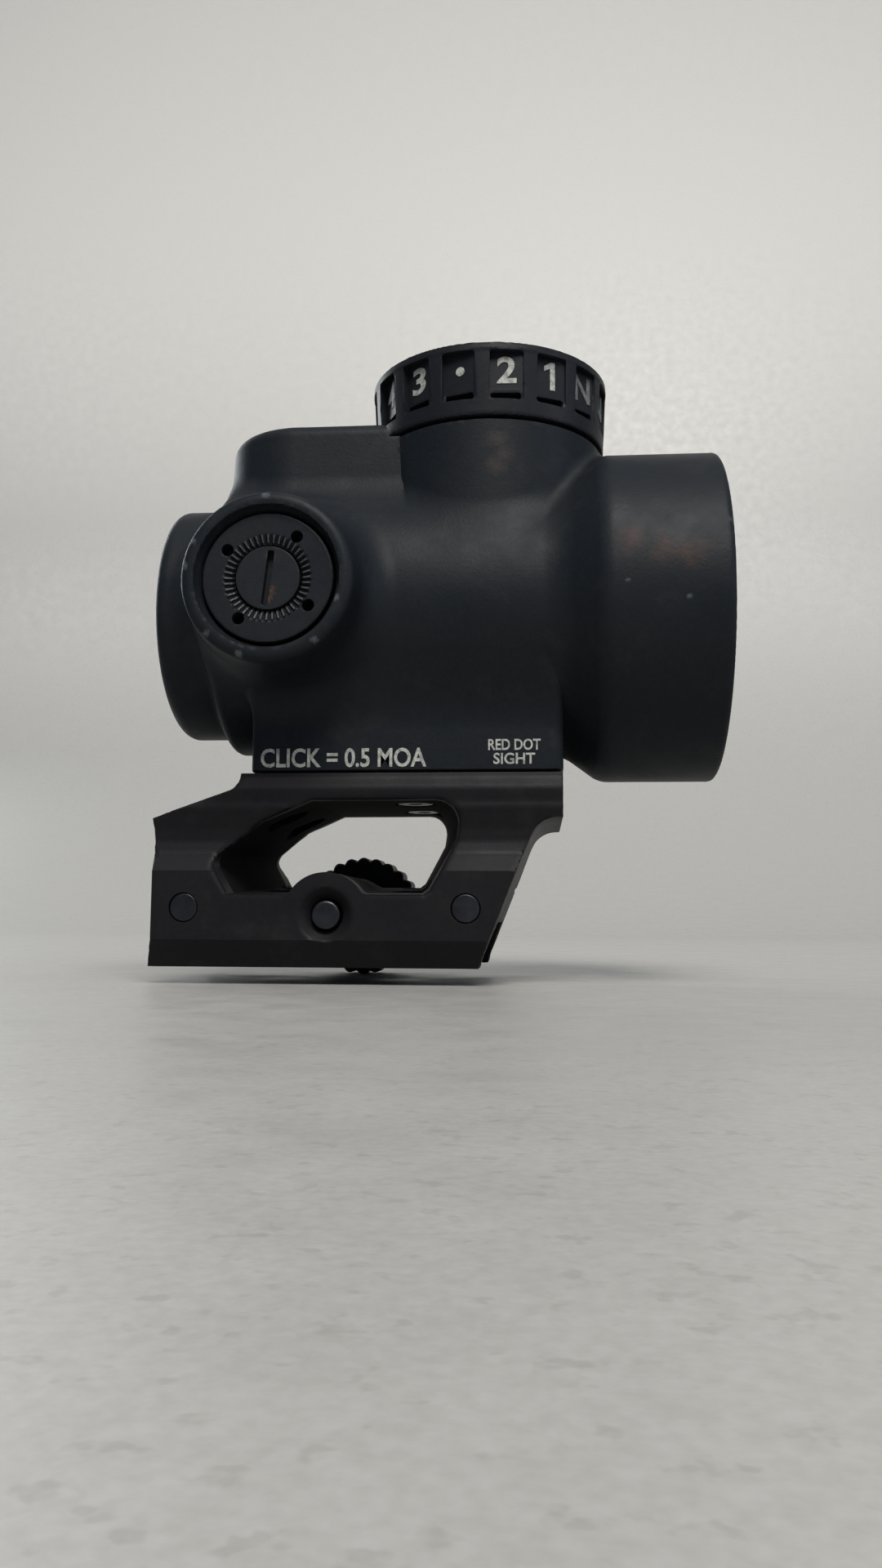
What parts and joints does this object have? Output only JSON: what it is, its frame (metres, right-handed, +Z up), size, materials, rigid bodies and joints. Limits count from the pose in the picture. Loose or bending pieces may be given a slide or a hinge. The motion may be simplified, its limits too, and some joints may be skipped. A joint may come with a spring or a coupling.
{
  "type": "compact tube red dot sight",
  "caption": "Compact tube red dot sight with bell objective, brightness dial over the battery, screw adjusters and a quick-release riser for an accessory rail.",
  "frame": {"origin": "on the rail seat, under the middle of the tube", "axes": "+X forward through the objective, +Z up away from the rail, -Y the shooter's right-hand side"},
  "size_m": [0.0661, 0.0429, 0.074],
  "materials": {
    "housing_anodised": "matte blue-black hard anodise on forged aluminium",
    "mount_anodised": "satin black anodise on aluminium",
    "fitting_anodised": "satin black anodise on turned aluminium",
    "black_steel": "black oxide",
    "cell_steel": "nickel-plated, satin",
    "spring_brass": "satin",
    "seal_rubber": "matte",
    "coated_glass": "clear, anti-reflection coated",
    "circuit_board": "satin solder mask"
  },
  "bodies": {
    "root": {"housing": "housing_anodised", "objective_lens": "coated_glass", "objective_retaining_ring": "fitting_anodised", "objective_seal": "seal_rubber", "ocular_lens": "coated_glass", "ocular_retaining_ring": "fitting_anodised", "ocular_seal": "seal_rubber", "emitter_flex_cable": "circuit_board", "bias_spring": "spring_brass", "windage_retaining_ring": "fitting_anodised", "windage_seal": "seal_rubber", "windage_click_ball": "black_steel", "windage_click_spring": "black_steel", "elevation_retaining_ring": "fitting_anodised", "elevation_seal": "seal_rubber", "elevation_click_ball": "black_steel", "elevation_click_spring": "black_steel", "dial_retaining_ring": "fitting_anodised", "selector_board": "circuit_board", "dial_detent_ball": "black_steel", "dial_detent_spring": "black_steel", "riser_mount": "mount_anodised", "base_screw_1": "black_steel", "base_screw_2": "black_steel", "base_screw_3": "black_steel", "base_screw_4": "black_steel", "guide_pin_rear": "black_steel", "guide_pin_front": "black_steel"},
    "gimbal": {"gimbal_ring": "spring_brass"},
    "optical_tube": {"optical_tube": "fitting_anodised", "emitter_bracket": "fitting_anodised", "emitter": "coated_glass"},
    "windage_dial": {"windage_dial": "fitting_anodised"},
    "windage_plunger": {"windage_plunger": "black_steel"},
    "elevation_dial": {"elevation_dial": "fitting_anodised"},
    "elevation_plunger": {"elevation_plunger": "black_steel"},
    "brightness_dial": {"brightness_dial": "fitting_anodised", "dial_clip": "black_steel", "dial_wiper": "spring_brass", "battery": "cell_steel", "battery_contact": "spring_brass"},
    "battery_cap_seal": {"battery_cap_seal": "seal_rubber"},
    "battery_cap": {"battery_cap": "fitting_anodised"},
    "clamp_jaw": {"clamp_jaw": "mount_anodised", "jaw_spring_rear": "black_steel", "jaw_spring_front": "black_steel", "wheel_detent_ball": "black_steel", "wheel_detent_spring": "black_steel"},
    "clamp_screw": {"cross_bolt": "black_steel", "click_wheel": "mount_anodised"}
  },
  "joints": [
    {"name": "brightness_turn", "type": "hinge", "parent": "root", "child": "brightness_dial", "pos_m": [0.0056, 0, 0.0622], "axis": [0, 0, 1], "range_deg": [-90, 90]},
    {"name": "cap_seal_lift", "type": "slide", "parent": "brightness_dial", "child": "battery_cap_seal", "axis": [0, 0, 1], "range_m": [0, 0.00225]},
    {"name": "cap_unscrew", "type": "hinge", "parent": "battery_cap_seal", "child": "battery_cap", "pos_m": [0.0056, 0, 0.0652], "axis": [0, 0, 1], "range_deg": [0, 1080]},
    {"name": "windage_turn", "type": "hinge", "parent": "root", "child": "windage_dial", "pos_m": [-0.01766, -0.0192, 0.0373], "axis": [0, 1, 0], "range_deg": [-525, 525]},
    {"name": "windage_screw_travel", "type": "slide", "parent": "root", "child": "windage_plunger", "axis": [0, 1, 0], "range_m": [-0.00026124, 0.00026124]},
    {"name": "tube_yaw", "type": "hinge", "parent": "root", "child": "gimbal", "pos_m": [0.008, 0, 0.0373], "axis": [0, 0, 1], "range_deg": [-0.58, 0.58]},
    {"name": "elevation_turn", "type": "hinge", "parent": "root", "child": "elevation_dial", "pos_m": [-0.01766, 0, 0.0565], "axis": [0, 0, -1], "range_deg": [-525, 525]},
    {"name": "elevation_screw_travel", "type": "slide", "parent": "root", "child": "elevation_plunger", "axis": [0, 0, -1], "range_m": [-0.00026124, 0.00026124]},
    {"name": "tube_pitch", "type": "hinge", "parent": "gimbal", "child": "optical_tube", "pos_m": [0.008, 0, 0.0373], "axis": [0, 1, 0], "range_deg": [-0.58, 0.58]},
    {"name": "jaw_open", "type": "slide", "parent": "root", "child": "clamp_jaw", "axis": [0, 1, 0], "range_m": [0, 0.0024]},
    {"name": "clamp_turn", "type": "hinge", "parent": "clamp_jaw", "child": "clamp_screw", "pos_m": [-0.0122, 0.017, 0.0008], "axis": [0, 1, 0], "range_deg": [-1080, 0]}
  ],
  "couplings": [
    {"joint": "cap_unscrew", "follows": "cap_seal_lift", "rad_per_m": 8377.5},
    {"joint": "windage_turn", "follows": "windage_screw_travel", "rad_per_m": 35074},
    {"joint": "tube_yaw", "follows": "windage_screw_travel", "rad_per_m": -38.971},
    {"joint": "elevation_turn", "follows": "elevation_screw_travel", "rad_per_m": 35074},
    {"joint": "tube_pitch", "follows": "elevation_screw_travel", "rad_per_m": -38.971},
    {"joint": "clamp_turn", "follows": "jaw_open", "rad_per_m": -7853.9}
  ]
}
